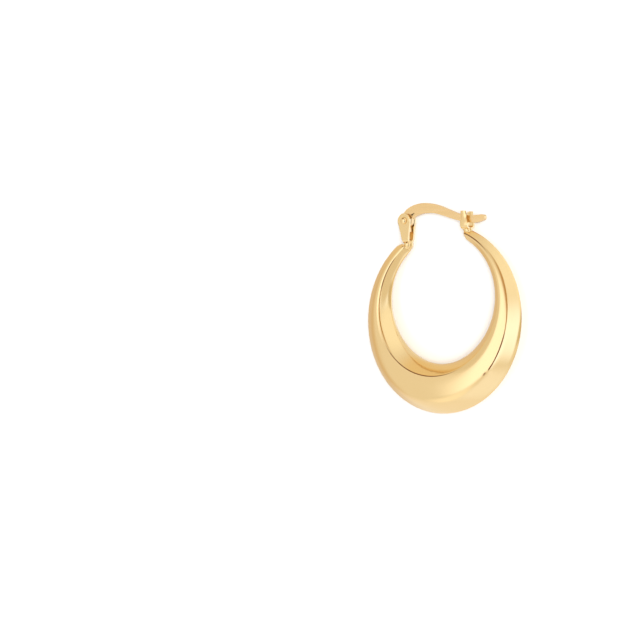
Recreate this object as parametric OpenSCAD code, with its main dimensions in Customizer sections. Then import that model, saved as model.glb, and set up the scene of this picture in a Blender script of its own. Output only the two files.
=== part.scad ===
// Creole hoop earring: a tapering knife-edge hoop with a soldered hinge yoke and catch,
// a rivet, and a flat ear wire that swings on it.
//
// The pieces are drawn upright, as worn: X across the hoop, Z up to the ear wire, Y along
// the hoop's own axis, with the lowest point of the hoop at the origin. lie_down() then
// lays the earring on its side, as it rests on a table.

/* [Hoop] */
// Diameter across the keel, the sharp outer edge of the hoop
hoop_d = 25; // [24:0.5:28]
// Angle from the lowest point round to the hinge end
hinge_end = 147; // [140:1:150]
// Angle from the lowest point round to the catch end
catch_end = 163; // [158:1:164]

/* [Tube at its lowest point] */
// Thickness from the keel to the crown of the inner face
low_thick = 6.65; // [5:0.05:7.5]
// Width along the axis of the hoop
low_width = 5.3; // [4:0.05:6.5]
// Depth of the shoulder edge, as a share of the thickness
low_shoulder_depth = 0.19; // [0.15:0.01:0.3]
// Width over the shoulder edges, as a share of the width
low_shoulder_width = 0.91; // [0.85:0.01:0.95]
// Depth of the inner edge, as a share of the thickness
low_inner_depth = 0.75; // [0.65:0.01:0.8]

/* [Tube half way up] */
// Thickness from the keel to the crown of the inner face
side_thick = 4.57; // [3.5:0.01:5]
// Width along the axis of the hoop
side_width = 3.28; // [2.5:0.01:4]
// Depth of the shoulder edge, as a share of the thickness
side_shoulder_depth = 0.31; // [0.25:0.01:0.4]
// Width over the shoulder edges, as a share of the width
side_shoulder_width = 0.74; // [0.7:0.01:0.85]
// Depth of the inner edge, as a share of the thickness
side_inner_depth = 0.67; // [0.6:0.01:0.75]

/* [Tube at its ends] */
// Thickness from the keel to the crown of the inner face
end_thick = 1.76; // [1.4:0.01:2.2]
// Width along the axis of the hoop
end_width = 1.44; // [1.2:0.01:1.8]
// Depth of the shoulder edge, as a share of the thickness
end_shoulder_depth = 0.31; // [0.25:0.01:0.35]
// Width over the shoulder edges, as a share of the width
end_shoulder_width = 0.76; // [0.7:0.01:0.85]
// Depth of the inner edge, as a share of the thickness
end_inner_depth = 0.6; // [0.55:0.01:0.7]

/* [Hinge yoke] */
// Radius of the round top of each ear
ear_r = 1; // [0.95:0.01:1.1]
// Width of each ear at its foot
ear_foot_w = 0.85; // [0.8:0.05:1.2]
// Thickness of each ear
ear_t = 0.3; // [0.25:0.01:0.35]
// Clear gap between the two ears
ear_gap = 0.84; // [0.8:0.01:0.95]
// Radius of the collar bead under the yoke
bead_r = 0.66; // [0.6:0.01:0.75]
// Height of the rivet above the centre of the bead
pivot_rise = 3.2; // [3:0.05:3.4]

/* [Rivet] */
// Diameter of the rivet's shaft
rivet_d = 0.8; // [0.7:0.02:0.9]
// Diameter of its domed heads
rivet_head_d = 0.96; // [0.92:0.02:1.1]
// Height of each head
rivet_head_h = 0.31; // [0.25:0.01:0.35]

/* [Ear wire] */
// Thickness of the flat wire
wire_t = 0.6; // [0.5:0.02:0.64]
// Radial clearance of the wire's eye on the rivet
eye_clearance = 0.05; // [0.02:0.01:0.09]
// Length of the heel below the rivet
heel_l = 1.5; // [1.3:0.05:1.7]

/* [Catch] */
// Width of the catch's bowl
catch_w = 1.05; // [0.9:0.05:1.1]
// Width of the two petals above the bowl
petal_w = 0.78; // [0.7:0.02:0.86]
// Thickness of the catch's strip
catch_t = 0.3; // [0.25:0.01:0.35]
// Width over the flared lips of the two petals
catch_span = 1.96; // [1.9:0.02:2.1]
// Height of the petals above the hoop
catch_h = 2.35; // [2.25:0.05:2.5]

/* [Hidden] */
$fn = 48;

gold = [0.90, 0.74, 0.44];
hoop_r = hoop_d / 2;

// Sections of the tube at cosines 1, 0 and cos(end_angle) of the angle from the lowest
// point. Columns: thickness, half width, then the shoulder's depth, the shoulder's width
// and the inner edge's depth as shares.
end_angle = 150;
SECTIONS = [
    [low_thick, low_width / 2, low_shoulder_depth, low_shoulder_width, low_inner_depth],
    [side_thick, side_width / 2, side_shoulder_depth, side_shoulder_width, side_inner_depth],
    [end_thick, end_width / 2, end_shoulder_depth, end_shoulder_width, end_inner_depth],
];
THICK = 0;
HALF_WIDTH = 1;
SHOULDER_DEPTH = 2;
SHOULDER_WIDTH = 3;
INNER_DEPTH = 4;

stations = 72;
crown_steps = 5;
crown_power = 1.7;
shoulder_round = 0.11;
inner_round = 0.03;
flank_bulge = 0.02;
hinge_slant = 5;
catch_slant = 3.3;
slant_reach = 25;

// A column of SECTIONS at angle a: the parabola in cos(a) through its three values
function column(a, k) =
    let (
        c = cos(a),
        e = cos(end_angle),
        low = c * (c - e) / (1 - e),
        side = (c - 1) * (c - e) / e,
        end = c * (c - 1) / (e * (e - 1))
    )
    low * SECTIONS[0][k] + side * SECTIONS[1][k] + end * SECTIONS[2][k];

// Position in the hoop's plane, as [x, z], at angle a and depth d below the keel
function ring(a, d) = [(hoop_r - d) * sin(a), hoop_r - (hoop_r - d) * cos(a)];

function toward(p, q, r) = p + (q - p) * r / norm(q - p);

// Three points that round corner q of the path p, q, s
function rounded(p, q, s, r) =
    let (a = toward(q, p, r), b = toward(q, s, r))
    [a, (a + 2 * q + b) / 4, b];

// Half of the tube's section at angle a, from keel to crown, as [depth, y]
function half_section(a) =
    let (
        t = column(a, THICK),
        w = column(a, HALF_WIDTH),
        shoulder = [t * column(a, SHOULDER_DEPTH), w * column(a, SHOULDER_WIDTH)],
        inner = [t * column(a, INNER_DEPTH), w],
        size = min(t, 2 * w),
        keel = [0, 0],
        flank = (shoulder + inner) / 2 + [0, flank_bulge * w],
        crown = [
            for (i = [1:crown_steps])
                let (s = 1 - i / crown_steps)
                [inner[0] + (t - inner[0]) * (1 - pow(s, crown_power)), w * s]
        ]
    )
    concat(
        [keel],
        rounded(keel, shoulder, flank, shoulder_round * size),
        [flank],
        rounded(flank, inner, crown[0], inner_round * size),
        crown
    );

// Full ring of a section: the half, and its mirror image without the two middle points
function section(a) =
    let (h = half_section(a), n = len(h))
    concat(h, [for (i = [n - 2:-1:1]) [h[i][0], -h[i][1]]]);

// The hinge end is cut level, so its inner side runs a few degrees further round. The
// catch end is cut upright, so its inner side stops short. share is the depth of a point.
function slanted(a, share) =
    let (
        near_hinge = max(0, 1 - (a + hinge_end) / slant_reach),
        near_catch = max(0, 1 - (catch_end - a) / slant_reach)
    )
    a - share * (hinge_slant * pow(near_hinge, 2) + catch_slant * pow(near_catch, 2));

function station_points(a) =
    let (t = column(a, THICK))
    [
        for (p = section(a))
            let (q = ring(slanted(a, p[0] / t), p[0]))
            [q[0], p[1], q[1]]
    ];

function mean(points) = [
    for (k = [0:2]) [for (p = points) p[k]] * [for (p = points) 1] / len(points)
];

module tube() {
    angles = [for (i = [0:stations]) -hinge_end + (hinge_end + catch_end) * i / stations];
    rings = [for (a = angles) station_points(a)];
    n = len(rings[0]);
    last = stations * n;
    caps = [mean(rings[0]), mean(rings[stations])];
    points = concat([for (r = rings) each r], caps);
    sides = [
        for (i = [0:stations - 1], j = [0:n - 1])
            let (
                a = i * n + j,
                b = i * n + (j + 1) % n
            )
            each [[a, b + n, b], [a, a + n, b + n]]
    ];
    first_cap = [for (j = [0:n - 1]) [j, (j + 1) % n, last + n]];
    last_cap = [for (j = [0:n - 1]) [last + (j + 1) % n, last + j, last + n + 1]];
    polyhedron(points, concat(sides, first_cap, last_cap), convexity = 6);
}

// Places of the fittings, as [x, z]. The bead lies a few degrees past the hinge end, near
// the middle of the tube, and the catch stands a little before the catch end.
bead_past_end = 4.5;
bead_depth = 0.95;
pivot_shift = -0.33;
bend_place = [-0.15, 0.85];
foot_before_end = 2;
foot_rise = 0.05;
grip_rise = 1.3;
bead = ring(-(hinge_end + bead_past_end), bead_depth);
pivot = bead + [pivot_shift, pivot_rise];
yoke_bend = bead + bend_place;
catch_foot = ring(catch_end - foot_before_end, 0) + [0, foot_rise];
grip = catch_foot + [0, grip_rise];

// How far a cutting tool stands past what it cuts
over = 1;

// Gives each flat child the thickness t, half of it to either side
module plate(t) {
    for (i = [0:1:$children - 1])
        linear_extrude(t, center = true)
            children(i);
}

// Stands up plates that were drawn flat, as [x, z] in the plane of the hoop
module in_plane() {
    rotate([90, 0, 0])
        children();
}

// Stands up plates that were drawn flat, as [y, z] across the hoop
module across() {
    rotate([90, 0, 90])
        children();
}

// Plate with a round top and two straight sides that leave it as tangents
module teardrop(top, foot, r, foot_w, t) {
    reach = norm(top - foot);
    turn = atan2(foot[0] - top[0], top[1] - foot[1]);
    half = foot_w / 2;
    away = 90 + atan2(half, reach) - asin(r / norm([half, reach]));
    side = [r * sin(away), -r * cos(away)];
    translate(top)
        rotate(turn)
            plate(t) {
                circle(r);
                polygon([[0, 0], side, [half, -reach], [-half, -reach], [-side[0], side[1]]]);
            }
}

// Two straight walls of a U, joined by a half ring, from its bend up to the given height
module u_solid(half, height, t) {
    plate(t) {
        circle(half);
        translate([-half, 0])
            square([2 * half, height]);
    }
}

module yoke() {
    outer = ear_gap / 2 + ear_t;
    height = 2 * pivot_rise;
    length = 4 * ear_r;
    difference() {
        intersection() {
            translate([yoke_bend[0], 0, yoke_bend[1]])
                across()
                    difference() {
                        u_solid(outer, height, length);
                        u_solid(ear_gap / 2, height + over, length + over);
                    }
            in_plane()
                teardrop(pivot, yoke_bend - [0, outer], ear_r, ear_foot_w, 2 * outer + over);
        }
        translate([pivot[0], 0, pivot[1]])
            rotate([90, 0, 0])
                cylinder(d = rivet_d, h = 2 * outer + over, center = true);
    }
}

// Centre line of one petal of the catch, from the foot up, as [y, height]: the bowl, the
// belly, the throat beside the wire and the flared lip
throat_play = 0.17;
lip = (catch_span - catch_t) / 2;
throat = (wire_t + catch_t) / 2 + throat_play;
PETAL = [
    [0, 0],
    [0.44, 0.04],
    [0.73, 0.27],
    [0.76, 0.6],
    [throat + 0.07, 1],
    [throat, 1.4],
    [throat, 1.72],
    [throat + 0.07, 1.98],
    [lip, catch_h - catch_t / 2],
];
petal_foot = 1.3;

// Catmull-Rom curve through the points p, with steps points to each span
function spline(p, steps) =
    let (n = len(p) - 1)
    [
        for (i = [0:n - 1], s = [0:steps - 1])
            let (
                u = s / steps,
                a = i == 0 ? 2 * p[0] - p[1] : p[i - 1],
                b = p[i],
                c = p[i + 1],
                d = i == n - 1 ? 2 * p[n] - p[n - 1] : p[i + 2]
            )
            ((2 * b) + (c - a) * u + (2 * a - 5 * b + 4 * c - d) * u * u
                + (3 * b - a - 3 * c + d) * u * u * u) / 2,
        p[n]
    ];

// Unit normals to the left of a path of [x, y, ...] points
function normals(p) =
    let (n = len(p) - 1)
    [
        for (i = [0:n])
            let (d = p[min(i + 1, n)] - p[max(i - 1, 0)], l = norm([d[0], d[1]]))
            [-d[1] / l, d[0] / l]
    ];

// Outline of a strip of the given half widths along a path. It ends in a half circle, and
// starts in one too if round_start is true.
module strip(path, half, round_start = false) {
    side = normals(path);
    n = len(path) - 1;
    polygon(concat(
        [for (i = [0:n]) [path[i][0], path[i][1]] + side[i] * half[i]],
        half_circle(path[n], side[n], half[n]),
        [for (i = [n:-1:0]) [path[i][0], path[i][1]] - side[i] * half[i]],
        round_start ? half_circle(path[0], -side[0], half[0]) : []
    ));
}

// Points of a half circle round p, from the unit vector side to its opposite
function half_circle(p, side, r) = [
    for (a = [15:15:165])
        [p[0], p[1]] + r * (cos(a) * side + sin(a) * [side[1], -side[0]])
];

module petals() {
    right = spline(PETAL, 4);
    whole = concat([for (i = [len(right) - 1:-1:1]) [-right[i][0], right[i][1]]], right);
    plate(catch_w)
        strip(whole, [for (p = whole) catch_t / 2], round_start = true);
}

// The bowl of the catch lies half in the tube. Its petals are narrower, with round tips.
module catch() {
    tip_r = petal_w / 2;
    shoulder = catch_h - tip_r;
    arc = [for (a = [0:10:180]) [tip_r * cos(a), shoulder + tip_r * sin(a)]];
    bowl = [[-tip_r, petal_foot], [-catch_w, -over], [catch_w, -over], [tip_r, petal_foot]];
    translate([catch_foot[0], 0, catch_foot[1]])
        intersection() {
            across()
                petals();
            in_plane()
                plate(2 * catch_span)
                    polygon(concat(bowl, arc));
        }
}

// The tube with the bead, yoke and catch soldered to it
module hoop() {
    color(gold)
        lie_down() {
            tube();
            translate([bead[0], 0, bead[1]])
                sphere(bead_r);
            yoke();
            catch();
        }
}

module hinge_rivet() {
    half = ear_gap / 2 + ear_t;
    dome_r = (pow(rivet_head_d / 2, 2) + pow(rivet_head_h, 2)) / (2 * rivet_head_h);
    color(gold)
        lie_down()
            translate([pivot[0], 0, pivot[1]])
                rotate([90, 0, 0]) {
                    cylinder(d = rivet_d, h = 2 * half, center = true);
                    for (s = [0, 1])
                        mirror([0, 0, s])
                            intersection() {
                                translate([0, 0, half])
                                    cylinder(d = rivet_head_d, h = rivet_head_h + over);
                                translate([0, 0, half + rivet_head_h - dome_r])
                                    sphere(dome_r);
                            }
                }
}

// Centre line of the ear wire. Columns: share of the way from the rivet to the catch,
// height above the straight line between them, height of the flat wire there.
WIRE = [
    [0.00, 0.30, 1.80],
    [0.06, 0.91, 1.52],
    [0.15, 1.34, 1.44],
    [0.27, 1.59, 1.36],
    [0.41, 1.57, 1.25],
    [0.55, 1.29, 1.13],
    [0.71, 0.75, 1.01],
    [0.87, 0.23, 0.87],
    [0.98, 0.00, 0.90],
    [1.13, -0.10, 0.96],
    [1.25, 0.07, 0.76],
];
heel_w = 1.3;

function wire_point(row) =
    let (q = pivot + (grip - pivot) * row[0])
    [q[0], q[1] + row[1], row[2]];

wire_path = spline([for (row = WIRE) wire_point(row)], 5);

module ear_wire() {
    color(gold)
        lie_down()
            difference() {
                in_plane()
                    plate(wire_t) {
                        strip(wire_path, [for (p = wire_path) p[2] / 2]);
                        translate(pivot)
                            circle(ear_r);
                        translate(pivot + [-heel_w / 2, -heel_l])
                            square([heel_w, heel_l]);
                    }
                translate([pivot[0], 0, pivot[1]])
                    rotate([90, 0, 0])
                        cylinder(d = rivet_d + 2 * eye_clearance, h = 2 * wire_t, center = true);
            }
}

// Lying on its side, the earring touches the table with the widest point of the tube's
// lowest section, and with a lip of the catch
low = half_section(0);
low_y = max([for (p = low) p[1]]);
low_z = max([for (p = low) if (p[1] == low_y) p[0]]);
lip_y = catch_span / 2;
lip_z = catch_foot[1] + catch_h - catch_t / 2;
lean = atan((low_y - lip_y) / (lip_z - low_z));
lift = low_y * cos(lean) + low_z * sin(lean);
wire_top = max([for (p = wire_path) p[1] + p[2] / 2]);
back = (wire_top * cos(lean) + wire_t / 2 * sin(lean)) / 2;

module lie_down() {
    translate([0, -back, lift])
        rotate([-90 - lean, 0, 0])
            children();
}

hoop();
hinge_rivet();
ear_wire();
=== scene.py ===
"""Looks of a creole hoop earring that lies on its side on a pale table.

Each piece is modelled upright, as worn, in millimetres: X runs across the hoop from the
hinge to the catch, Y along the hoop's own axis, and Z up to the ear wire, with the
hoop's lowest point at the origin. Placement then lays it down in the frame of the part.
"""

from __future__ import annotations

import logging
import math
from collections.abc import Callable, Iterable
from dataclasses import dataclass, field
from enum import Enum
from typing import ClassVar

import bmesh
import bpy
from mathutils import Matrix, Vector

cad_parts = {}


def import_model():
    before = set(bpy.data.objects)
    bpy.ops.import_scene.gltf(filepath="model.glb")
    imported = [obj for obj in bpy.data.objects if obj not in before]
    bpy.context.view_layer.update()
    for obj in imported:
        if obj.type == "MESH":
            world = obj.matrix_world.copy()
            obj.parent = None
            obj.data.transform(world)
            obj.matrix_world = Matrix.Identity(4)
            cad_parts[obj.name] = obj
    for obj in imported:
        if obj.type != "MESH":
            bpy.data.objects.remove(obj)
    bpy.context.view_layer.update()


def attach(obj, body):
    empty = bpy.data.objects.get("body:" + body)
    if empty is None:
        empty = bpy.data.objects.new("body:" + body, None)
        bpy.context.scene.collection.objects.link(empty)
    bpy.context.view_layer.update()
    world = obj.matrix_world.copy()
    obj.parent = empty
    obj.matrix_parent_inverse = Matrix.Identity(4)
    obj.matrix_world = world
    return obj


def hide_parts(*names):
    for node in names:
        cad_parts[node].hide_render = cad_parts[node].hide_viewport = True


LOG = logging.getLogger("creole")
MM = 0.001
ORIGIN = (0.0, 0.0, 0.0)
BEVEL_SEGMENTS = 3
SHARP_EDGE = 40.0
QUARTER_TURN = 90.0
EYE_RIM = 2
SAME_PLACE = 1e-5
MERGE_DISTANCE = 0.001


class Body(Enum):
    """Moving bodies of the earring."""

    HOOP = "hoop"
    WIRE = "ear_wire"


class Slot(Enum):
    """Material slots of the earring."""

    POLISHED = "polished_gold"
    SATIN = "satin_gold"


@dataclass(frozen=True)
class Placement:
    """Where the upright earring lies on the table, in degrees and millimetres."""

    lean: float = 4.37777
    lift: float = 3.00521
    back: float = 14.0075

    def matrix(self) -> Matrix:
        """Gives the move from the upright frame to the part's frame.

        Returns:
            The matrix, from millimetres to metres.
        """
        turn = Matrix.Rotation(math.radians(-QUARTER_TURN - self.lean), 4, "X")
        shift = Matrix.Translation(Vector((0, -self.back, self.lift)))
        return Matrix.Scale(MM, 4) @ shift @ turn

    def point(self, x: float, y: float, z: float) -> Vector:
        """Moves one upright point to the part's frame."""
        return self.matrix() @ Vector((x, y, z))

    def direction(self, x: float, y: float, z: float) -> Vector:
        """Turns one upright direction into the part's frame."""
        return (self.matrix().to_3x3() @ Vector((x, y, z))).normalized()


PLACE = Placement()


@dataclass
class Bench:
    """One mesh on the bench, shaped by operators on selections made in code.

    Every vertex carries two tags, which an extrusion copies: its row across the section
    and the ring, or station, that it belongs to.
    """

    name: str
    part: bpy.types.Object | None = None

    def open(self) -> None:
        """Takes the new primitive into edit mode and tags its vertices."""
        self.part = bpy.context.object
        self.part.name = self.name
        self.part.data.name = self.name
        bpy.ops.object.mode_set(mode="EDIT")
        bpy.ops.mesh.select_mode(type="VERT")
        mesh = self.mesh()
        row = mesh.verts.layers.int.new("row")
        mesh.verts.layers.int.new("ring")
        mesh.verts.ensure_lookup_table()
        for index, vertex in enumerate(mesh.verts):
            vertex[row] = index
        self.update()

    def mesh(self) -> bmesh.types.BMesh:
        """Gives the edit mesh."""
        return bmesh.from_edit_mesh(self.part.data)

    def update(self) -> None:
        """Writes the edit mesh back."""
        bmesh.update_edit_mesh(self.part.data)

    def pick(self, test: Callable[[Vector, int, int], bool]) -> None:
        """Selects the vertices that pass a test, with the edges and faces between them.

        Args:
            test: Takes a vertex's place, row and ring.
        """
        mesh = self.mesh()
        row = mesh.verts.layers.int["row"]
        ring = mesh.verts.layers.int["ring"]
        for face in mesh.faces:
            face.select_set(False)
        for edge in mesh.edges:
            edge.select_set(False)
        for vertex in mesh.verts:
            vertex.select_set(test(vertex.co, vertex[row], vertex[ring]))
        mesh.select_flush_mode()
        self.update()

    def pick_ring(self, index: int, rows: Iterable[int] | None = None) -> None:
        """Selects one ring, or some rows of it."""
        wanted = None if rows is None else set(rows)
        self.pick(lambda _, r, k: k == index and (wanted is None or r in wanted))

    def extrude(self, ring: int) -> None:
        """Extrudes what is selected in place, and tags the new vertices.

        Args:
            ring: The new vertices' ring.
        """
        bpy.ops.mesh.extrude_region_move()
        mesh = self.mesh()
        layer = mesh.verts.layers.int["ring"]
        for vertex in mesh.verts:
            if vertex.select:
                vertex[layer] = ring
        self.update()

    def move(self, x: float = 0, y: float = 0, z: float = 0) -> None:
        """Moves what is selected."""
        bpy.ops.transform.translate(value=(x, y, z))

    def turn(self, degrees: float, axis: str, centre: tuple[float, float, float]) -> None:
        """Turns what is selected by the right-hand rule.

        Args:
            degrees: How far.
            axis: X, Y or Z.
            centre: The point that stays where it is.
        """
        bpy.ops.transform.rotate(
            value=-math.radians(degrees), orient_axis=axis, center_override=centre
        )

    def scale(self, x: float, y: float, z: float, centre: tuple[float, float, float]) -> None:
        """Scales what is selected about a point."""
        bpy.ops.transform.resize(value=(x, y, z), center_override=centre)

    def shift(self, test: Callable[[Vector, int, int], bool], delta: Vector) -> None:
        """Moves the vertices that pass a test."""
        self.pick(test)
        self.move(*delta)

    def places(self, ring: int) -> list[Vector]:
        """Lists where a ring's vertices are.

        Args:
            ring: The ring's index.

        Returns:
            Copies of their coordinates.
        """
        mesh = self.mesh()
        layer = mesh.verts.layers.int["ring"]
        return [vertex.co.copy() for vertex in mesh.verts if vertex[layer] == ring]

    def line_up(
        self, ring: int, left: Vector, right: Vector, key: Callable[[Vector], float]
    ) -> None:
        """Spreads a ring's vertices evenly along a line.

        Args:
            ring: The ring.
            left: Where the first vertex goes.
            right: Where the last vertex goes.
            key: Orders the vertices by their place.
        """
        spots = sorted(self.places(ring), key=key)
        for i, spot in enumerate(spots):
            target = left.lerp(right, i / (len(spots) - 1))
            self.shift(
                lambda co, _, k: k == ring and (co - spot).length < SAME_PLACE, target - spot
            )

    def crease(self, amount: float) -> None:
        """Sets the crease of the selected edges."""
        bpy.ops.transform.edge_crease(value=-1)
        bpy.ops.transform.edge_crease(value=amount)

    def close(self) -> bpy.types.Object:
        """Leaves edit mode with all faces pointing outwards.

        Returns:
            The object.
        """
        bpy.ops.mesh.select_all(action="SELECT")
        bpy.ops.mesh.normals_make_consistent(inside=False)
        bpy.ops.mesh.select_all(action="DESELECT")
        bpy.ops.object.mode_set(mode="OBJECT")
        return self.part


def circle_bench(name: str, radius: float, segments: int, y: float = 0) -> Bench:
    """Draws an upright circle round the Y axis and opens it for editing.

    Args:
        name: The piece's name.
        radius: The circle's radius.
        segments: Its vertices.
        y: Its place along the axis.

    Returns:
        The bench, with the circle as ring 0.
    """
    clear_selection()
    bpy.ops.mesh.primitive_circle_add(
        vertices=segments,
        radius=radius,
        fill_type="NOTHING",
        location=(0, y, 0),
        rotation=(math.pi / 2, 0, 0),
    )
    bpy.ops.object.transform_apply(location=True, rotation=True, scale=False)
    bench = Bench(name)
    bench.open()
    return bench


def eye_bench(name: str, bore: float, radius: float, segments: int, y: float = 0) -> Bench:
    """Draws a flat upright eye from its bore outwards.

    Args:
        name: The piece's name.
        bore: The bore's diameter.
        radius: The eye's outer radius.
        segments: Vertices round it.
        y: Its place along the axis.

    Returns:
        The bench, with the eye's rim as ring EYE_RIM.
    """
    size = bore / 2
    bench = circle_bench(name, size, segments, y)
    bench.pick_ring(0)
    for ring, wider in ((1, (size + radius) / 2), (EYE_RIM, radius)):
        bench.extrude(ring)
        bench.scale(wider / size, 1, wider / size, (0, y, 0))
        size = wider
    return bench


def curve_through(points: list[tuple[float, ...]], steps: int) -> list[Vector]:
    """Draws a Catmull-Rom curve.

    Args:
        points: The points that it goes through, with any number of columns.
        steps: Points to each span.

    Returns:
        The points of the curve.
    """
    rows = [Vector(point) for point in points]
    rows = [2 * rows[0] - rows[1], *rows, 2 * rows[-1] - rows[-2]]
    curve = []
    for a, b, c, d in zip(rows, rows[1:], rows[2:], rows[3:]):
        for step in range(steps):
            u = step / steps
            curve.append(
                (
                    2 * b
                    + (c - a) * u
                    + (2 * a - 5 * b + 4 * c - d) * u**2
                    + (3 * b - a - 3 * c + d) * u**3
                )
                / 2
            )
    return [*curve, rows[-2]]


def share_of(value: float, start: float, stop: float) -> float:
    """Gives how far a value is on its way from start to stop, from 0 to 1."""
    return min(1, max(0, (value - start) / (stop - start)))


def clear_selection() -> None:
    """Deselects every object."""
    bpy.ops.object.select_all(action="DESELECT")


def subdivide(part: bpy.types.Object, levels: int) -> None:
    """Applies a subdivision surface.

    Args:
        part: The object.
        levels: How many times each face is split in four.
    """
    modifier = part.modifiers.new("smooth", "SUBSURF")
    modifier.levels = levels
    modifier.render_levels = levels
    bpy.ops.object.modifier_apply(modifier=modifier.name)


def thicken(part: bpy.types.Object, thickness: float) -> None:
    """Gives a sheet its wall, half of it to either side.

    Args:
        part: The object.
        thickness: Thickness of the wall, in millimetres.
    """
    modifier = part.modifiers.new("wall", "SOLIDIFY")
    modifier.thickness = thickness
    modifier.offset = 0
    modifier.use_even_offset = True
    bpy.ops.object.modifier_apply(modifier=modifier.name)


def round_edges(part: bpy.types.Object, width: float) -> None:
    """Applies a bevel to every sharp edge.

    Args:
        part: The object.
        width: Width of the bevel, in millimetres.
    """
    modifier = part.modifiers.new("edges", "BEVEL")
    modifier.width = width
    modifier.segments = BEVEL_SEGMENTS
    modifier.limit_method = "ANGLE"
    modifier.angle_limit = math.radians(SHARP_EDGE)
    bpy.ops.object.modifier_apply(modifier=modifier.name)


def mirror_y(part: bpy.types.Object) -> None:
    """Joins an object and its mirror image in the plane of the hoop.

    Args:
        part: The object, all on one side of the plane or up to it.
    """
    modifier = part.modifiers.new("mirror", "MIRROR")
    modifier.use_axis = (False, True, False)
    modifier.use_clip = True
    modifier.merge_threshold = MERGE_DISTANCE
    bpy.ops.object.modifier_apply(modifier=modifier.name)


def lay_down(part: bpy.types.Object, angle: float = SHARP_EDGE) -> None:
    """Lays an upright piece on the table and leaves its object at the origin.

    Args:
        part: The piece, upright and in millimetres.
        angle: Edges sharper than this many degrees stay sharp in the shading.
    """
    clear_selection()
    part.select_set(True)
    bpy.context.view_layer.objects.active = part
    part.matrix_world = PLACE.matrix()
    bpy.ops.object.transform_apply(location=True, rotation=True, scale=True)
    bpy.ops.object.shade_smooth_by_angle(angle=math.radians(angle))
    clear_selection()


def hand_over(
    part: bpy.types.Object,
    body: Body,
    material: bpy.types.Material,
    node: str,
) -> None:
    """Dresses a piece, puts it on its body and hides the CAD node that it stands for.

    Args:
        part: The piece.
        body: The body that it rides on.
        material: Its finish.
        node: The CAD node that it stands for.
    """
    part.data.materials.clear()
    part.data.materials.append(material)
    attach(part, body.value)
    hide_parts(node)
    LOG.info("%s: %d faces on %s", part.name, len(part.data.polygons), body.value)


@dataclass(frozen=True)
class Gold:
    """Yellow gold with faint ripples and a slightly uneven polish."""

    name: str
    colour: tuple[float, float, float] = (0.88, 0.665, 0.352)
    deep: tuple[float, float, float] = (0.865, 0.645, 0.325)
    low_roughness: float = 0.09
    high_roughness: float = 0.15
    ripple: float = 0.02
    ripple_scale: float = 320.0
    grain_scale: float = 2600.0
    grain: float = 0.01
    stretch: tuple[float, float, float] = (1.0, 1.0, 1.0)
    ior: float = 1.45
    ripple_detail: float = 3.0
    grain_detail: float = 2.0
    ripple_depth: float = 0.2 * MM
    grain_depth: float = 0.02 * MM

    def material(self) -> bpy.types.Material:
        """Builds the node material.

        Returns:
            The material, which reads Object coordinates.
        """
        material = bpy.data.materials.new(self.name)
        material.use_nodes = True
        nodes = material.node_tree.nodes
        links = material.node_tree.links
        shader = nodes["Principled BSDF"]
        shader.inputs["Metallic"].default_value = 1.0
        shader.inputs["IOR"].default_value = self.ior

        coordinates = nodes.new("ShaderNodeTexCoord")
        mapping = nodes.new("ShaderNodeMapping")
        mapping.inputs["Scale"].default_value = self.stretch
        links.new(coordinates.outputs["Object"], mapping.inputs["Vector"])

        clouds = nodes.new("ShaderNodeTexNoise")
        clouds.inputs["Scale"].default_value = self.ripple_scale
        clouds.inputs["Detail"].default_value = self.ripple_detail
        links.new(mapping.outputs["Vector"], clouds.inputs["Vector"])

        tint = nodes.new("ShaderNodeMix")
        tint.data_type = "RGBA"
        tint.inputs["A"].default_value = (*self.deep, 1.0)
        tint.inputs["B"].default_value = (*self.colour, 1.0)
        links.new(clouds.outputs["Fac"], tint.inputs["Factor"])
        links.new(tint.outputs["Result"], shader.inputs["Base Color"])

        polish = nodes.new("ShaderNodeMapRange")
        polish.inputs["To Min"].default_value = self.low_roughness
        polish.inputs["To Max"].default_value = self.high_roughness
        links.new(clouds.outputs["Fac"], polish.inputs["Value"])
        links.new(polish.outputs["Result"], shader.inputs["Roughness"])

        grain = nodes.new("ShaderNodeTexNoise")
        grain.inputs["Scale"].default_value = self.grain_scale
        grain.inputs["Detail"].default_value = self.grain_detail
        links.new(mapping.outputs["Vector"], grain.inputs["Vector"])
        ripples = nodes.new("ShaderNodeBump")
        ripples.inputs["Strength"].default_value = self.ripple
        ripples.inputs["Distance"].default_value = self.ripple_depth
        links.new(clouds.outputs["Fac"], ripples.inputs["Height"])
        scratches = nodes.new("ShaderNodeBump")
        scratches.inputs["Strength"].default_value = self.grain
        scratches.inputs["Distance"].default_value = self.grain_depth
        links.new(grain.outputs["Fac"], scratches.inputs["Height"])
        links.new(ripples.outputs["Normal"], scratches.inputs["Normal"])
        links.new(scratches.outputs["Normal"], shader.inputs["Normal"])
        return material


@dataclass(frozen=True)
class Section:
    """Section of the tube: sizes in millimetres, then shares of them."""

    thick: float
    half_width: float
    shoulder_depth: float
    shoulder_width: float
    inner_depth: float


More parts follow.
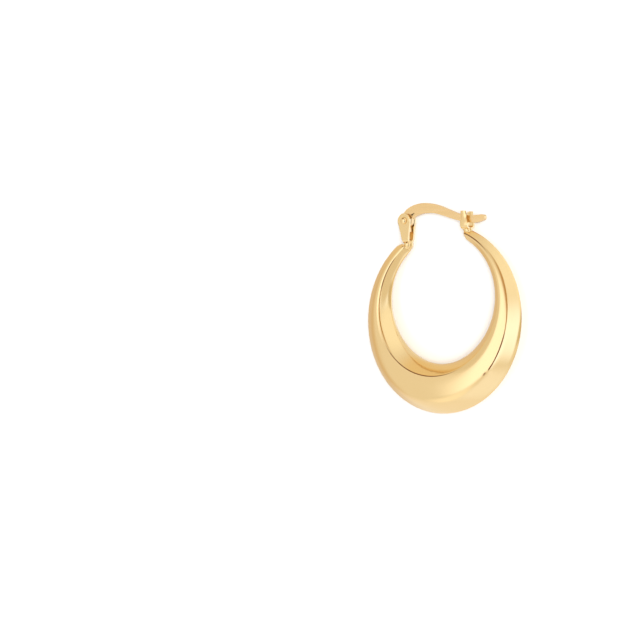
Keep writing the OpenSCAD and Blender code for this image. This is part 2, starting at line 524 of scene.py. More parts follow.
@dataclass
class HoopTube:
    """The C-shaped tube with its knife edge, shoulders and inner edges.

    Angles run in degrees from the lowest point, and are negative towards the hinge.
    """

    KEEL: ClassVar[int] = 0
    SHOULDER: ClassVar[int] = 1
    INNER_EDGE: ClassVar[int] = 4

    radius: float = 12.5
    hinge_end: float = 147
    catch_end: float = 163
    low: Section = Section(6.65, 2.65, 0.19, 0.91, 0.75)
    side: Section = Section(4.57, 1.64, 0.31, 0.74, 0.67)
    end: Section = Section(1.76, 0.72, 0.31, 0.76, 0.60)
    end_angle: float = 150
    hinge_slant: float = 5
    catch_slant: float = 3.3
    slant_reach: float = 25
    stations: int = 52
    crown_steps: int = 4
    crown_power: float = 1.7
    end_power: float = 1.15
    widest: float = 0.7
    edge_share: float = 0.965
    keel_spare: float = 0.06
    keel_crease: float = 0.93
    edge_crease: float = 0.42
    hinge_crease: float = 0.06
    hinge_soft_from: float = -50
    hinge_soft_to: float = -78
    bulge: float = 0.3
    crisp_from: float = 40
    crisp_to: float = 55
    soft_from: float = 120
    soft_to: float = 145
    crisp: float = 0.48
    cap_inset: float = 0.18
    smooth_levels: int = 3
    sharp_shading: float = 35

    def at(self, angle: float) -> Section:
        """Gives the section at an angle from the lowest point.

        Args:
            angle: Degrees, towards the catch.

        Returns:
            The parabola in the angle's cosine through the three named sections.
        """
        c, e = math.cos(math.radians(angle)), math.cos(math.radians(self.end_angle))
        weights = (c * (c - e) / (1 - e), (c - 1) * (c - e) / e, c * (c - 1) / (e * (e - 1)))
        named = (self.low, self.side, self.end)
        return Section(
            *(
                sum(weight * getattr(section, name) for weight, section in zip(weights, named))
                for name in Section.__dataclass_fields__
            )
        )

    def rows(self, angle: float) -> list[tuple[float, float]]:
        """Gives the section's rows from the keel to the crown.

        Args:
            angle: Degrees from the lowest point.

        Returns:
            Depth below the keel and distance from the plane of the hoop, for each row.
        """
        s = self.at(angle)
        inner = s.thick * s.inner_depth
        edge = s.half_width * self.edge_share
        start, width = s.thick * s.shoulder_depth, s.half_width * s.shoulder_width
        reach, rise = inner - start, s.half_width - width
        flank = [
            (start + reach * self.widest / 2, width + rise * (1 + self.bulge) / 2),
            (start + reach * self.widest, s.half_width),
        ]
        crown = []
        way = abs(angle) / self.end_angle
        power = self.crown_power + (self.end_power - self.crown_power) * way
        for i in range(1, self.crown_steps + 1):
            share = 1 - i / self.crown_steps
            depth = inner + (s.thick - inner) * (1 - share**power)
            crown.append((depth, edge * share))
        return [(-self.keel_spare, 0), (start, width), *flank, (inner, edge), *crown]

    def slanted(self, angle: float, share: float) -> float:
        """Shifts an angle near the two slanted ends.

        Args:
            angle: Degrees from the lowest point.
            share: Depth as a share of the thickness.

        Returns:
            The shifted angle.
        """
        hinge = max(0, 1 - (angle + self.hinge_end) / self.slant_reach)
        catch = max(0, 1 - (self.catch_end - angle) / self.slant_reach)
        return angle - share * (self.hinge_slant * hinge**2 + self.catch_slant * catch**2)

    def build(self) -> bpy.types.Object:
        """Draws the first section and extrudes it round the hoop.

        Returns:
            The tube, laid down.
        """
        half = self.INNER_EDGE + self.crown_steps
        count = 2 * half
        bench = circle_bench("hoop_tube", 1, count)
        centre = (0, 0, self.radius)

        def mirrored(row: int) -> set[int]:
            """Gives a row and its mirror image."""
            return {row, (count - row) % count}

        angles = [
            -self.hinge_end + (self.hinge_end + self.catch_end) * i / self.stations
            for i in range(self.stations + 1)
        ]
        first = self.rows(angles[0])
        mesh = bench.mesh()
        layer = mesh.verts.layers.int["row"]
        for vertex in mesh.verts:
            row = min(vertex[layer], count - vertex[layer])
            depth, y = first[row]
            side = 1 if vertex[layer] <= half else -1
            vertex.co = Vector((0, side * y, depth))
        bench.update()
        for row, (depth, _) in enumerate(first):
            bench.pick_ring(0, mirrored(row))
            bench.turn(-self.slanted(angles[0], depth / first[-1][0]), "Y", centre)
        before = first
        for i in range(1, len(angles)):
            bench.pick_ring(i - 1)
            bench.extrude(i)
            now = self.rows(angles[i])
            old_angle, angle = angles[i - 1], angles[i]
            for row, (depth, y) in enumerate(now):
                bench.pick_ring(i, mirrored(row))
                old_depth, old_y = before[row]
                start = self.slanted(old_angle, old_depth / before[-1][0])
                stop = self.slanted(angle, depth / now[-1][0])
                if old_y > 0:
                    bench.scale(1, y / old_y, 1, ORIGIN)
                inward = math.radians(start)
                drop = depth - old_depth
                bench.move(-drop * math.sin(inward), 0, drop * math.cos(inward))
                bench.turn(start - stop, "Y", centre)
            before = now
        for ring in (0, self.stations):
            bench.pick_ring(ring)
            bpy.ops.mesh.edge_face_add()
            bpy.ops.mesh.inset(thickness=self.cap_inset)
        self.crease_rows(bench, angles, count)
        tube = bench.close()
        subdivide(tube, self.smooth_levels)
        lay_down(tube, self.sharp_shading)
        return tube

    def crease_rows(self, bench: Bench, angles: list[float], count: int) -> None:
        """Creases the keel, the shoulders and the inner edges, softer towards the hinge.

        Args:
            bench: The tube in edit mode.
            angles: The stations' angles.
            count: Rows in a whole ring.
        """
        for i in range(len(angles) - 1):
            middle = (angles[i] + angles[i + 1]) / 2
            rise = share_of(middle, self.crisp_from, self.crisp_to)
            fall = share_of(middle, self.soft_to, self.soft_from)
            soft = share_of(middle, self.hinge_soft_from, self.hinge_soft_to)
            edge = self.edge_crease + (self.hinge_crease - self.edge_crease) * soft
            for row, amount in (
                (self.KEEL, self.keel_crease),
                (self.SHOULDER, self.crisp * rise * fall),
                (self.INNER_EDGE, edge),
            ):
                for side in {row, (count - row) % count}:
                    bench.pick(lambda _, r, k: r == side and k in (i, i + 1))
                    bench.crease(amount)


@dataclass(frozen=True)
class Fittings:
    """Places of the fittings in the plane of the hoop, as x and z."""

    bead: Vector = field(default_factory=lambda: Vector((-5.5113, 0, 22.6503)))
    pivot: Vector = field(default_factory=lambda: Vector((-5.8412, 0, 25.8503)))
    catch_foot: Vector = field(default_factory=lambda: Vector((4.0696, 0, 24.369)))


FITTINGS = Fittings()


@dataclass
class CollarBead:
    """The small ball that joins the yoke to the tube, drawn out into solder."""

    radius: float = 0.66
    segments: int = 32
    rings: int = 20
    low_share: float = -0.55
    low_neck: tuple[float, float, float] = (-0.1, 0, -0.12)
    high_share: float = 0.8
    high_neck: tuple[float, float, float] = (-0.05, 0, 0.06)
    sharp_shading: float = 80

    def build(self) -> bpy.types.Object:
        """Draws the ball and pulls its two poles out into necks.

        Returns:
            The bead, laid down.
        """
        clear_selection()
        bpy.ops.mesh.primitive_uv_sphere_add(
            segments=self.segments, ring_count=self.rings, radius=self.radius
        )
        bench = Bench("collar_bead")
        bench.open()
        low, high = self.low_share * self.radius, self.high_share * self.radius
        bench.pick(lambda co, _r, _k: co.z < low)
        bench.move(*self.low_neck)
        bench.pick(lambda co, _r, _k: co.z > high)
        bench.move(*self.high_neck)
        bead = bench.close()
        subdivide(bead, 1)
        bead.data.transform(Matrix.Translation(FITTINGS.bead))
        lay_down(bead, self.sharp_shading)
        return bead


@dataclass
class HingeYoke:
    """The U with two teardrop ears that carries the wire."""

    ear_radius: float = 1.0
    foot_width: float = 0.82
    thickness: float = 0.3
    gap: float = 0.84
    bore: float = 0.8
    rise: float = 3.2
    bend_rise: float = 0.85
    bend_shift: float = -0.15
    segments: int = 48
    bend_steps: int = 8
    leg_top: float = -0.05
    leg_row: float = -1.25
    edge: float = 0.07

    def half_width(self, z: float) -> float:
        """Gives half the ear's width at one height.

        Args:
            z: Height from the pivot, negative below it.

        Returns:
            The half width in millimetres.
        """
        reach = self.rise - self.bend_rise + self.gap / 2 + self.thickness
        half_foot = self.foot_width / 2
        return self.ear_radius + (half_foot - self.ear_radius) * -z / reach

    def build(self) -> bpy.types.Object:
        """Draws one ear from its bore outwards, bends its foot and mirrors it.

        Returns:
            The yoke, laid down.
        """
        wall = (self.gap + self.thickness) / 2
        bend = self.bend_rise - self.rise
        drift = (self.bend_shift + FITTINGS.bead.x - FITTINGS.pivot.x) / bend
        bench = eye_bench("hinge_yoke", self.bore, self.ear_radius, self.segments, -wall)
        bench.pick(lambda co, _, k: k == EYE_RIM and co.z < self.leg_top * self.ear_radius)
        ring = EYE_RIM + 1
        bench.extrude(ring)
        level = self.leg_row * self.ear_radius
        half = self.half_width(level)
        centre = drift * level
        bench.line_up(
            ring,
            Vector((centre - half, -wall, level)),
            Vector((centre + half, -wall, level)),
            key=lambda co: math.atan2(co.x, -co.z),
        )
        for z in ((level + bend) / 2, bend):
            bench.pick_ring(ring)
            ring += 1
            bench.extrude(ring)
            self.narrow(bench, level, z, drift, -wall)
            bench.move(drift * (z - level), 0, z - level)
            level = z
        for step in range(self.bend_steps):
            bench.pick_ring(ring)
            ring += 1
            bench.extrude(ring)
            bench.turn(QUARTER_TURN / self.bend_steps, "X", (0, 0, bend))
            turned = math.radians(QUARTER_TURN * (step + 1) / self.bend_steps)
            z = bend - wall * math.sin(turned)
            self.narrow(bench, level, z, drift, 0)
            bench.move(drift * (z - level), 0, 0)
            level = z
        yoke = bench.close()
        mirror_y(yoke)
        thicken(yoke, self.thickness)
        round_edges(yoke, self.edge)
        yoke.data.transform(Matrix.Translation(FITTINGS.pivot))
        lay_down(yoke)
        return yoke

    def narrow(self, bench: Bench, old_z: float, z: float, drift: float, y: float) -> None:
        """Scales the selected row to the ear's width at a new height."""
        share = self.half_width(z) / self.half_width(old_z)
        bench.scale(share, 1, 1, (drift * old_z, y, 0))


@dataclass
class Catch:
    """The U of two flared petals that grips the wire."""

    bowl_width: float = 1.05
    petal_width: float = 0.78
    bowl_top: float = 0.8
    petal_foot: float = 1.3
    lean: float = -0.12
    thickness: float = 0.3
    span: float = 1.96
    height: float = 2.42
    wire: float = 0.6
    columns: int = 8
    steps: int = 5
    edge: float = 0.12
    throat_play: float = 0.17
    crown: float = 0.1
    tip_least: float = 0.02
    bowl: tuple[tuple[float, float], ...] = ((0, 0), (0.44, 0.04), (0.73, 0.27), (0.76, 0.6))
    grip: tuple[tuple[float, float], ...] = ((0.07, 1.0), (0, 1.4), (0, 1.75), (0.06, 2.03))
    solder: Vector = field(default_factory=lambda: Vector((0.04, 0, -0.16)))
    solder_size: tuple[float, float, float] = (0.64, 0.58, 0.5)
    solder_run: tuple[float, float, float] = (0.12, 0, -0.1)
    solder_segments: int = 32
    solder_rings: int = 20

    def path(self) -> list[Vector]:
        """Draws the centre line of one petal, from the foot up.

        Returns:
            Points of distance from the hoop's plane and height.
        """
        lip = (self.span - self.thickness) / 2 - self.crown
        throat = (self.wire + self.thickness) / 2 + self.throat_play
        grip = [(throat + play, z) for play, z in self.grip]
        top = (lip, self.height - self.thickness / 2)
        return curve_through([*self.bowl, *grip, top], self.steps)

    def half_width(self, z: float) -> float:
        """Gives half the strip's width at one height, less where the tip is round.

        Args:
            z: Height above the foot.

        Returns:
            The half width in millimetres.
        """
        way = share_of(z, self.bowl_top, self.petal_foot)
        half = (self.bowl_width + (self.petal_width - self.bowl_width) * way) / 2
        tip = self.petal_width / 2
        shoulder = self.height - tip
        if z <= shoulder:
            return half
        return min(half, math.sqrt(max(self.tip_least, tip**2 - (z - shoulder) ** 2)))

    def build(self) -> bpy.types.Object:
        """Extrudes one petal from the foot, mirrors it and gives it a wall.

        Returns:
            The catch, laid down.
        """
        path = self.path()
        clear_selection()
        bpy.ops.mesh.primitive_grid_add(
            x_subdivisions=self.columns, y_subdivisions=1, size=1
        )
        bench = Bench("wire_catch")
        bench.open()
        ring = bench.mesh().verts.layers.int["ring"]
        for vertex in bench.mesh().verts:
            far = vertex.co.y > 0
            vertex[ring] = int(far)
            spot = path[1] if far else path[0]
            vertex.co = Vector((vertex.co.x * self.bowl_width, spot.x, spot.y))
        bench.update()
        for i in range(2, len(path)):
            bench.pick_ring(i - 1)
            bench.extrude(i)
            now, old = path[i], path[i - 1]
            share = self.half_width(now.y) / self.half_width(old.y)
            bench.scale(share, 1, 1, (self.lean * old.y / self.height, 0, 0))
            lean = self.lean * (now.y - old.y) / self.height
            bench.move(lean, now.x - old.x, now.y - old.y)
        self.crown_petal(bench, path)
        catch = bench.close()
        mirror_y(catch)
        thicken(catch, self.thickness)
        round_edges(catch, self.edge)
        self.run_solder(catch)
        catch.data.transform(Matrix.Translation(FITTINGS.catch_foot))
        lay_down(catch)
        return catch

    def crown_petal(self, bench: Bench, path: list[Vector]) -> None:
        """Bulges the petal outwards along its middle, above the bowl.

        Args:
            bench: The petal in edit mode.
            path: The petal's centre line, one ring at each point.
        """
        across = self.columns + 1
        for ring, spot in enumerate(path):
            way = share_of(spot.y, 0, self.petal_foot)
            for column in range(1, self.columns):
                share = 1 - (2 * column / self.columns - 1) ** 2
                bench.pick(lambda _, r, k: k == ring and r % across == column)
                bench.move(0, self.crown * share * way, 0)

    def run_solder(self, catch: bpy.types.Object) -> None:
        """Fills the joint between the foot and the end of the tube.

        Args:
            catch: The catch, upright, which the solder joins.
        """
        clear_selection()
        bpy.ops.mesh.primitive_uv_sphere_add(
            segments=self.solder_segments, ring_count=self.solder_rings, radius=1
        )
        bench = Bench("solder")
        bench.open()
        bench.pick(lambda _co, _r, _k: True)
        bench.scale(*self.solder_size, ORIGIN)
        bench.move(*self.solder)
        bench.pick(lambda co, _r, _k: co.z < self.solder.z)
        bench.move(*self.solder_run)
        solder = bench.close()
        subdivide(solder, 1)
        clear_selection()
        solder.select_set(True)
        catch.select_set(True)
        bpy.context.view_layer.objects.active = catch
        bpy.ops.object.join()


@dataclass
class HingeRivet:
    """The pin through the yoke's ears, with two domed heads."""

    shaft: float = 0.8
    head: float = 0.96
    head_height: float = 0.31
    reach: float = 0.72
    rim: float = 0.03
    segments: int = 40
    dome_steps: int = 6
    dome_turn: float = 84
    sharp_shading: float = 50

    def build(self) -> bpy.types.Object:
        """Extrudes half the pin from its middle to the top of a head and mirrors it.

        Returns:
            The rivet, laid down.
        """
        bench = circle_bench("rivet", self.shaft / 2, self.segments)
        radius, y = self.shaft / 2, 0.0
        head, foot = self.head / 2, self.reach + self.rim
        stops = [(radius, self.reach), (head - self.rim, self.reach), (head, foot)]
        for step in range(1, self.dome_steps + 1):
            turn = math.radians(self.dome_turn * step / self.dome_steps)
            rise = (self.head_height - self.rim) * math.sin(turn)
            stops.append((head * math.cos(turn), foot + rise))
        for ring, (new_radius, new_y) in enumerate(stops, start=1):
            bench.pick_ring(ring - 1)
            bench.extrude(ring)
            share = new_radius / radius
            bench.scale(share, 1, share, (0, y, 0))
            bench.move(0, new_y - y, 0)
            radius, y = new_radius, new_y
        bench.pick_ring(len(stops))
        bpy.ops.mesh.edge_face_add()
        rivet = bench.close()
        mirror_y(rivet)
        rivet.data.transform(Matrix.Translation(FITTINGS.pivot))
        lay_down(rivet, self.sharp_shading)
        return rivet


@dataclass
class EarWire:
    """The flat bent wire with its eye, heel and rounded tip.

    The rows of the table are the share of the way from the rivet to the catch, the
    height above the straight line between them, and the height of the wire there.
    """

    thickness: float = 0.6
    eye_radius: float = 1.0
    bore: float = 0.9
    heel_length: float = 1.5
    heel_width: float = 1.3
    grip_rise: float = 1.3
    segments: int = 48
    steps: int = 4
    edge: float = 0.1
    heel_play: float = 0.02
    arm_from: float = -8
    arm_to: float = 128
    arm_ring: int = 10
    tip_turns: tuple[float, ...] = (20, 40, 57, 72, 84)
    first_row: int = 1
    table: tuple[tuple[float, float, float], ...] = (
        (0.00, 0.30, 1.80),
        (0.06, 0.91, 1.52),
        (0.15, 1.34, 1.44),
        (0.27, 1.59, 1.36),
        (0.41, 1.57, 1.25),
        (0.55, 1.29, 1.13),
        (0.71, 0.75, 1.01),
        (0.87, 0.23, 0.87),
        (0.98, 0.00, 0.90),
        (1.13, -0.10, 0.96),
        (1.25, 0.07, 0.76),
    )

    def path(self) -> list[Vector]:
        """Draws the wire's centre line from the pivot.

        Returns:
            Points of x, z and the height of the wire.
        """
        way = FITTINGS.catch_foot + Vector((0, 0, self.grip_rise)) - FITTINGS.pivot
        rows = [
            (way.x * share, way.z * share + rise, height)
            for share, rise, height in self.table
        ]
        return curve_through(rows, self.steps)[self.steps * self.first_row :]

    def build(self) -> bpy.types.Object:
        """Draws the eye from its bore outwards, then extrudes the wire and the heel.

        Returns:
            The ear wire, laid down.
        """
        bench = eye_bench("flat_ear_wire", self.bore, self.eye_radius, self.segments)
        self.draw_heel(bench)
        self.draw_arm(bench)
        wire = bench.close()
        thicken(wire, self.thickness)
        round_edges(wire, self.edge)
        wire.data.transform(Matrix.Translation(FITTINGS.pivot))
        lay_down(wire)
        return wire

    def draw_heel(self, bench: Bench) -> None:
        """Extrudes the bottom of the eye down to the flat heel.

        Args:
            bench: The eye in edit mode.
        """
        half = self.heel_width / 2
        reach = half + self.heel_play
        bench.pick(lambda co, _, k: k == EYE_RIM and co.z < 0 and abs(co.x) < reach)
        bench.extrude(EYE_RIM + 1)
        bench.line_up(
            EYE_RIM + 1,
            Vector((-half, 0, -self.heel_length)),
            Vector((half, 0, -self.heel_length)),
            key=lambda co: co.x,
        )

    def draw_arm(self, bench: Bench) -> None:
        """Extrudes the upper right of the eye along the wire to its tip.

        Args:
            bench: The eye in edit mode.
        """
        path = self.path()
        lower, upper = math.radians(self.arm_from), math.radians(self.arm_to)
        bench.pick(lambda co, _, k: k == EYE_RIM and lower < math.atan2(co.z, co.x) < upper)
        ring = self.arm_ring
        bench.extrude(ring)
        heading = math.atan2(path[1].y - path[0].y, path[1].x - path[0].x)
        side = Vector((-math.sin(heading), 0, math.cos(heading))) * path[0].z / 2
        centre = Vector((path[0].x, 0, path[0].y))
        bench.line_up(
            ring, centre - side, centre + side, key=lambda co: math.atan2(co.z, co.x)
        )
        height = path[0].z
        for i in range(1, len(path)):
            ahead = path[min(i + 1, len(path) - 1)]
            new_heading = math.atan2(ahead.y - path[i - 1].y, ahead.x - path[i - 1].x)
            spot = Vector((path[i].x, 0, path[i].y))
            turn, share = heading - new_heading, path[i].z / height
            self.step(bench, ring, spot - centre, spot, turn, share)
            centre, heading, height, ring = spot, new_heading, path[i].z, ring + 1
        tip = height / 2
        forward = Vector((math.cos(heading), 0, math.sin(heading)))
        reach, share = 0.0, 1.0
        for degrees in self.tip_turns:
            turn = math.radians(degrees)
            step = forward * (tip * math.sin(turn) - reach)
            centre = centre + step
            self.step(bench, ring, step, centre, 0, math.cos(turn) / share)
            reach, share, ring = tip * math.sin(turn), math.cos(turn), ring + 1

    def step(
        self,
        bench: Bench,
        ring: int,
        delta: Vector,
        centre: Vector,
        turn: float,
        share: float,
    ) -> None:
        """Extrudes one row of the wire.

        Args:
            bench: The wire in edit mode.
            ring: The row to extrude.
            delta: Its move.
            centre: Its new centre.
            turn: Its turn in radians, by the right-hand rule about Y.
            share: The new height as a share of the old one.
        """
        bench.pick_ring(ring)
        bench.extrude(ring + 1)
        bench.move(*delta)
        bench.turn(math.degrees(turn), "Y", tuple(centre))
        bench.scale(share, share, share, tuple(centre))


@dataclass(frozen=True)
class View:
    """The photographed view: angle and framing."""

    azimuth: float = 35.43
    distance: float = 198.87
    height: float = 7.707
    sensor: float = 36.0
    focal: float = 84.375
    shift: tuple[float, float] = (-0.1908, 0.0556)
    nearest: float = 0.001
    farthest: float = 10

    def build(self) -> None:
        """Places the camera and makes it the scene's."""
        camera = bpy.data.cameras.new("camera")
        camera.sensor_width = self.sensor
        camera.lens = self.focal
        camera.shift_x, camera.shift_y = self.shift
        camera.clip_start = self.nearest
        camera.clip_end = self.farthest
        turn = math.radians(self.azimuth)
        away = Vector((math.sin(turn), -math.cos(turn), 0))
        spot = PLACE.point(*(away * self.distance + Vector((0, 0, self.height))))
        back = PLACE.direction(*away)
        up = PLACE.direction(0, 0, 1)
        right = up.cross(back)
        holder = bpy.data.objects.new("camera", camera)
        axes = Matrix((right, up, back)).transposed().to_4x4()
        holder.matrix_world = Matrix.Translation(spot) @ axes
        bpy.context.scene.collection.objects.link(holder)
        bpy.context.scene.camera = holder


def facing(tree: bpy.types.NodeTree, azimuth: float, elevation: float) -> bpy.types.NodeSocket:
    """Measures how nearly a direction of the room points one way.

    Args:
        tree: The world's nodes.
        azimuth: Degrees from X towards Y.
        elevation: Degrees above the table.

    Returns:
        The cosine of the angle from it.
    """
    turn, rise = math.radians(azimuth), math.radians(elevation)
    sight = tree.nodes.new("ShaderNodeTexCoord")
    angle = tree.nodes.new("ShaderNodeVectorMath")
    angle.operation = "DOT_PRODUCT"
    angle.inputs[1].default_value = (
        math.cos(turn) * math.cos(rise), math.sin(turn) * math.cos(rise), math.sin(rise)
    )
    tree.links.new(sight.outputs["Generated"], angle.inputs[0])
    return angle.outputs["Value"]


def ramp(
    tree: bpy.types.NodeTree, cosine: bpy.types.NodeSocket, outside: float, inside: float
) -> bpy.types.NodeSocket:
    """Fades from nothing to everything between two angles.

    Args:
        tree: The world's nodes.
        cosine: The cosine of the angle.
        outside: Degrees where the ramp is 0.
        inside: Degrees where it is 1.

    Returns:
        The ramp.
    """
    edge = tree.nodes.new("ShaderNodeMapRange")
    edge.interpolation_type = "SMOOTHSTEP"
    edge.inputs["From Min"].default_value = math.cos(math.radians(outside))
    edge.inputs["From Max"].default_value = math.cos(math.radians(inside))
    tree.links.new(cosine, edge.inputs["Value"])
    return edge.outputs["Result"]


def cover(
    tree: bpy.types.NodeTree,
    name: str,
    behind: bpy.types.NodeSocket,
    factor: bpy.types.NodeSocket,
    colour: tuple[float, float, float],
) -> bpy.types.NodeSocket:
    """Lays one colour over what is behind it.

    Args:
        tree: The world's nodes.
        name: The label of the new node.
        behind: The colour behind it.
        factor: How much of it shows.
        colour: The colour.

    Returns:
        The mixed colour.
    """
    layer = tree.nodes.new("ShaderNodeMix")
    layer.label = name
    layer.data_type = "RGBA"
    layer.inputs["B"].default_value = (*colour, 1.0)
    tree.links.new(factor, layer.inputs["Factor"])
    tree.links.new(behind, layer.inputs["A"])
    return layer.outputs["Result"]


@dataclass(frozen=True)
class Card:
    """One soft round card that the gold mirrors, light or dark, far from the table.

    Directions and sizes are in degrees: azimuth from X towards Y, elevation above the
    table, the card's solid core, and the rim where it has faded out.
    """

    name: str
    azimuth: float
    elevation: float
    core: float
    rim: float
    colour: tuple[float, float, float]

    def hang(
        self, tree: bpy.types.NodeTree, behind: bpy.types.NodeSocket
    ) -> bpy.types.NodeSocket:
        """Lays the card over what is behind it.

        Args:
            tree: The world's nodes.
            behind: The colour behind the card.

        Returns:
            The colour with the card.
        """
        shape = ramp(tree, facing(tree, self.azimuth, self.elevation), self.rim, self.core)
        return cover(tree, self.name, behind, shape, self.colour)


@dataclass(frozen=True)
class Flag:
    """A small soft card close above the earring, seen only in the gold, in millimetres.

    It glows evenly out to the radius full, and fades out at its edge.
    """

    spot: tuple[float, float, float] = (0.4, -1.2, 12.0)
    full: float = 4.3
    edge: float = 6.4
    colour: tuple[float, float, float] = (0.87, 0.81, 0.70)
    segments: int = 48

    def material(self) -> bpy.types.Material:
        """Makes the card's glow, which fades out towards its edge.

        Returns:
            The material.
        """
        material = bpy.data.materials.new("flag")
        material.use_nodes = True
        tree = material.node_tree
        nodes, links = tree.nodes, tree.links
        nodes.clear()
        place = nodes.new("ShaderNodeTexCoord")
        away = nodes.new("ShaderNodeVectorMath")
        away.operation = "LENGTH"
        fade = nodes.new("ShaderNodeMapRange")
        fade.interpolation_type = "SMOOTHSTEP"
        fade.inputs["From Min"].default_value = self.full * MM
        fade.inputs["From Max"].default_value = self.edge * MM
        glow = nodes.new("ShaderNodeEmission")
        glow.inputs["Color"].default_value = (*self.colour, 1)
        mix = nodes.new("ShaderNodeMixShader")
        out = nodes.new("ShaderNodeOutputMaterial")
        links.new(place.outputs["Object"], away.inputs[0])
        links.new(away.outputs["Value"], fade.inputs["Value"])
        links.new(fade.outputs["Result"], mix.inputs[0])
        links.new(glow.outputs["Emission"], mix.inputs[1])
        links.new(nodes.new("ShaderNodeBsdfTransparent").outputs["BSDF"], mix.inputs[2])
        links.new(mix.outputs["Shader"], out.inputs["Surface"])
        return material

    def hang(self) -> None:
        """Hangs the card level above the table, out of the camera's sight."""
        clear_selection()
        bpy.ops.mesh.primitive_circle_add(
            vertices=self.segments,
            radius=self.edge * MM,
            fill_type="NGON",
            location=Vector(self.spot) * MM,
        )
        flag = bpy.context.object
        flag.name = "flag"
        flag.data.materials.append(self.material())
        flag.visible_camera = False
        flag.visible_diffuse = False
        flag.visible_shadow = False
        clear_selection()


@dataclass(frozen=True)
class Gap:
    """A stretch of the dark gap round the overhead light.

    The gap is a soft ring round the light's direction, its middle line a radius away.
    Only the stretch near a second direction shows: all of it within full degrees, and
    nothing beyond reach.
    """

    name: str
    azimuth: float
    elevation: float
    reach: float
    full: float
    radius: float
    core: float
    rim: float
    colour: tuple[float, float, float]
    light_azimuth: float = 160
    light_elevation: float = 65

    def hang(
        self, tree: bpy.types.NodeTree, behind: bpy.types.NodeSocket
    ) -> bpy.types.NodeSocket:
        """Lays the ring over what is behind it.

        Args:
            tree: The world's nodes.
            behind: The colour behind the ring.

        Returns:
            The colour with the ring.
        """
        nodes, links = tree.nodes, tree.links
        angle = facing(tree, self.light_azimuth, self.light_elevation)
        outer = ramp(tree, angle, self.radius + self.rim, self.radius + self.core)
        hole = ramp(tree, angle, self.radius - self.core, self.radius - self.rim)
        ring = nodes.new("ShaderNodeMath")
        ring.operation = "SUBTRACT"
        links.new(outer, ring.inputs[0])
        links.new(hole, ring.inputs[1])
        near = facing(tree, self.azimuth, self.elevation)
        part = nodes.new("ShaderNodeMath")
        part.operation = "MULTIPLY"
        links.new(ring.outputs["Value"], part.inputs[0])
        links.new(ramp(tree, near, self.reach, self.full), part.inputs[1])
        return cover(tree, self.name, behind, part.outputs["Value"], self.colour)


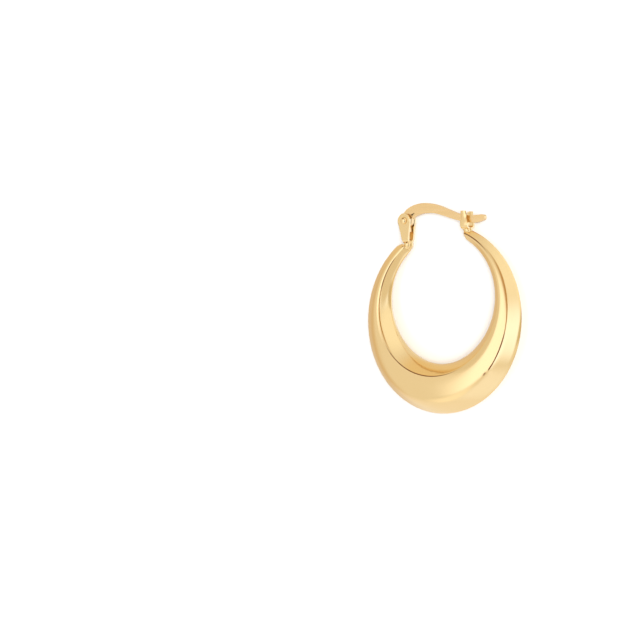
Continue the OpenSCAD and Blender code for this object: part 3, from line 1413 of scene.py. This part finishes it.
@dataclass(frozen=True)
class Studio:
    """Pale table, an even white room, and the cards that the gold mirrors."""

    table_size: float = 3.0
    table_colour: tuple[float, float, float] = (0.9, 0.9, 0.9)
    table_roughness: float = 0.6
    table_gloss: float = 0.2
    wall: tuple[float, float, float] = (0.95, 0.91, 0.84)
    ceiling: tuple[float, float, float] = (1.43, 1.47, 1.55)
    cards: tuple[Card | Gap, ...] = (
        Card("left wall", 180, -25, 20, 60, (0.8, 0.65, 0.46)),
        Card("bright wall", 45, 15, 15, 45, (1.15, 1.15, 1.1)),
        Card("front wall", -110, -10, 25, 55, (1.05, 1.02, 1.0)),
        Card("back wall", 126, -5, 20, 45, (0.92, 0.76, 0.5)),
        Card("front glow", -112, 42, 6, 28, (1.18, 1.15, 1.08)),
        Card("front light", -72, 20, 8, 30, (1.12, 1.14, 1.2)),
        Card("window", -14, 50, 8, 34, (1.36, 1.52, 1.8)),
        Card("side wall", -10, 9, 22, 30, (0.74, 0.65, 0.49)),
        Card("edge light", -29, 21, 4, 12, (0.98, 0.94, 0.85)),
        Card("table glow", 0, -62, 10, 40, (1.25, 1.35, 1.6)),
        Gap("thin gap", 10, 0, 90, 60, 49, 4.5, 8.5, (0.55, 0.3, 0.08)),
        Gap("gap above the catch side", -35, 63, 19, 14, 49, 8, 11.5, (0.2, 0.06, 0.004)),
        Gap("gap behind the hoop", 122, 35, 24, 12, 41, 9.5, 14.5, (0.2, 0.06, 0.004)),
    )
    wall_top: float = 0.8
    ceiling_edge: float = 0.97
    flag: Flag = Flag()
    lamp_spot: tuple[float, float, float] = (0.47, 0.05, 0.52)
    lamp_size: float = 0.3
    lamp_power: float = 3.6

    def table(self) -> None:
        """Lays the table."""
        clear_selection()
        bpy.ops.mesh.primitive_plane_add(size=self.table_size)
        table = bpy.context.object
        table.name = "table"
        material = bpy.data.materials.new("table")
        material.use_nodes = True
        shader = material.node_tree.nodes["Principled BSDF"]
        shader.inputs["Base Color"].default_value = (*self.table_colour, 1)
        shader.inputs["Roughness"].default_value = self.table_roughness
        shader.inputs["Specular IOR Level"].default_value = self.table_gloss
        table.data.materials.append(material)
        table.visible_glossy = False
        clear_selection()

    def lamp(self) -> None:
        """Hangs the soft square lamp, in metres and watts, that points at the earring."""
        light = bpy.data.lights.new("key", "AREA")
        light.shape = "SQUARE"
        light.size = self.lamp_size
        light.energy = self.lamp_power
        lamp = bpy.data.objects.new("key", light)
        lamp.location = self.lamp_spot
        lamp.rotation_euler = Vector(self.lamp_spot).to_track_quat("Z", "Y").to_euler()
        lamp.visible_glossy = False
        bpy.context.scene.collection.objects.link(lamp)

    def air(self) -> None:
        """Fills the room with light: walls, a brighter ceiling and the cards."""
        world = bpy.data.worlds.new("room")
        bpy.context.scene.world = world
        world.use_nodes = True
        tree = world.node_tree
        nodes, links = tree.nodes, tree.links
        sight = nodes.new("ShaderNodeTexCoord")
        split = nodes.new("ShaderNodeSeparateXYZ")
        links.new(sight.outputs["Generated"], split.inputs["Vector"])
        height = nodes.new("ShaderNodeMapRange")
        height.interpolation_type = "SMOOTHSTEP"
        height.inputs["From Min"].default_value = self.wall_top
        height.inputs["From Max"].default_value = self.ceiling_edge
        links.new(split.outputs["Z"], height.inputs["Value"])
        room = nodes.new("ShaderNodeMix")
        room.data_type = "RGBA"
        room.inputs["A"].default_value = (*self.wall, 1.0)
        room.inputs["B"].default_value = (*self.ceiling, 1.0)
        links.new(height.outputs["Result"], room.inputs["Factor"])
        colour = room.outputs["Result"]
        for card in self.cards:
            colour = card.hang(tree, colour)
        links.new(colour, nodes["Background"].inputs["Color"])

    def build(self) -> None:
        """Lays the table and lights the room."""
        self.table()
        self.air()
        self.flag.hang()
        self.lamp()
        scene = bpy.context.scene
        scene.view_settings.view_transform = "Standard"
        scene.view_settings.look = "None"


def main() -> None:
    """Builds the camera, the studio and every piece."""
    logging.basicConfig(level=logging.INFO, format="%(name)s: %(message)s")
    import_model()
    View().build()
    Studio().build()
    polished = Gold("polished_gold").material()
    satin = Gold(
        "satin_gold",
        colour=(0.89, 0.65, 0.35),
        deep=(0.82, 0.57, 0.27),
        low_roughness=0.2,
        high_roughness=0.32,
        ripple=0.12,
        ripple_scale=900.0,
        grain_scale=3000.0,
        grain=0.05,
        stretch=(0.15, 2.0, 1.0),
    ).material()
    for build, slot, material, body, node in (
        (HoopTube().build, Slot.POLISHED, polished, Body.HOOP, "hoop"),
        (CollarBead().build, Slot.POLISHED, polished, Body.HOOP, "hoop"),
        (HingeYoke().build, Slot.POLISHED, polished, Body.HOOP, "hoop"),
        (Catch().build, Slot.POLISHED, polished, Body.HOOP, "hoop"),
        (HingeRivet().build, Slot.POLISHED, polished, Body.HOOP, "hinge_rivet"),
        (EarWire().build, Slot.SATIN, satin, Body.WIRE, "ear_wire"),
    ):
        hand_over(build(), body, material, node)


if __name__ == "__main__":
    main()
